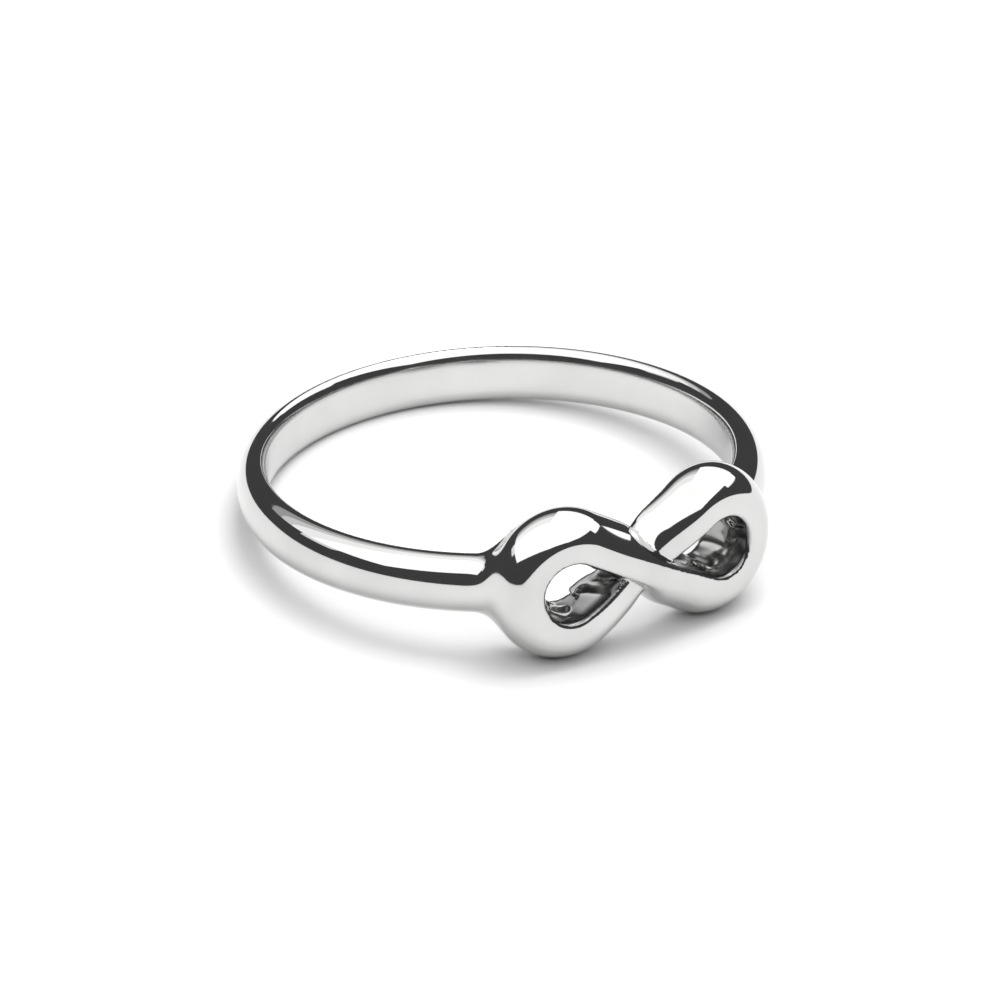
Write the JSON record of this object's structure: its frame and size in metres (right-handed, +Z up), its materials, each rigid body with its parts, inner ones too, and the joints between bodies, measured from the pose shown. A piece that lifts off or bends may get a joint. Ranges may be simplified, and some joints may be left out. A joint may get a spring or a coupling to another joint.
{
  "type": "infinity ring",
  "caption": "Finger ring of polished silver: a plain domed band that runs into a pierced figure-eight of crossing strands.",
  "frame": {"origin": "middle of the ring's footprint, on the surface that it lies on", "axes": "+Z up from the surface, -Y towards the figure-eight, +X along the figure-eight's length"},
  "size_m": [0.0198, 0.0202, 0.0058],
  "materials": {
    "polished_silver": "mirror-polished silver"
  },
  "bodies": {
    "root": {"infinity_ring": "polished_silver"}
  },
  "joints": []
}
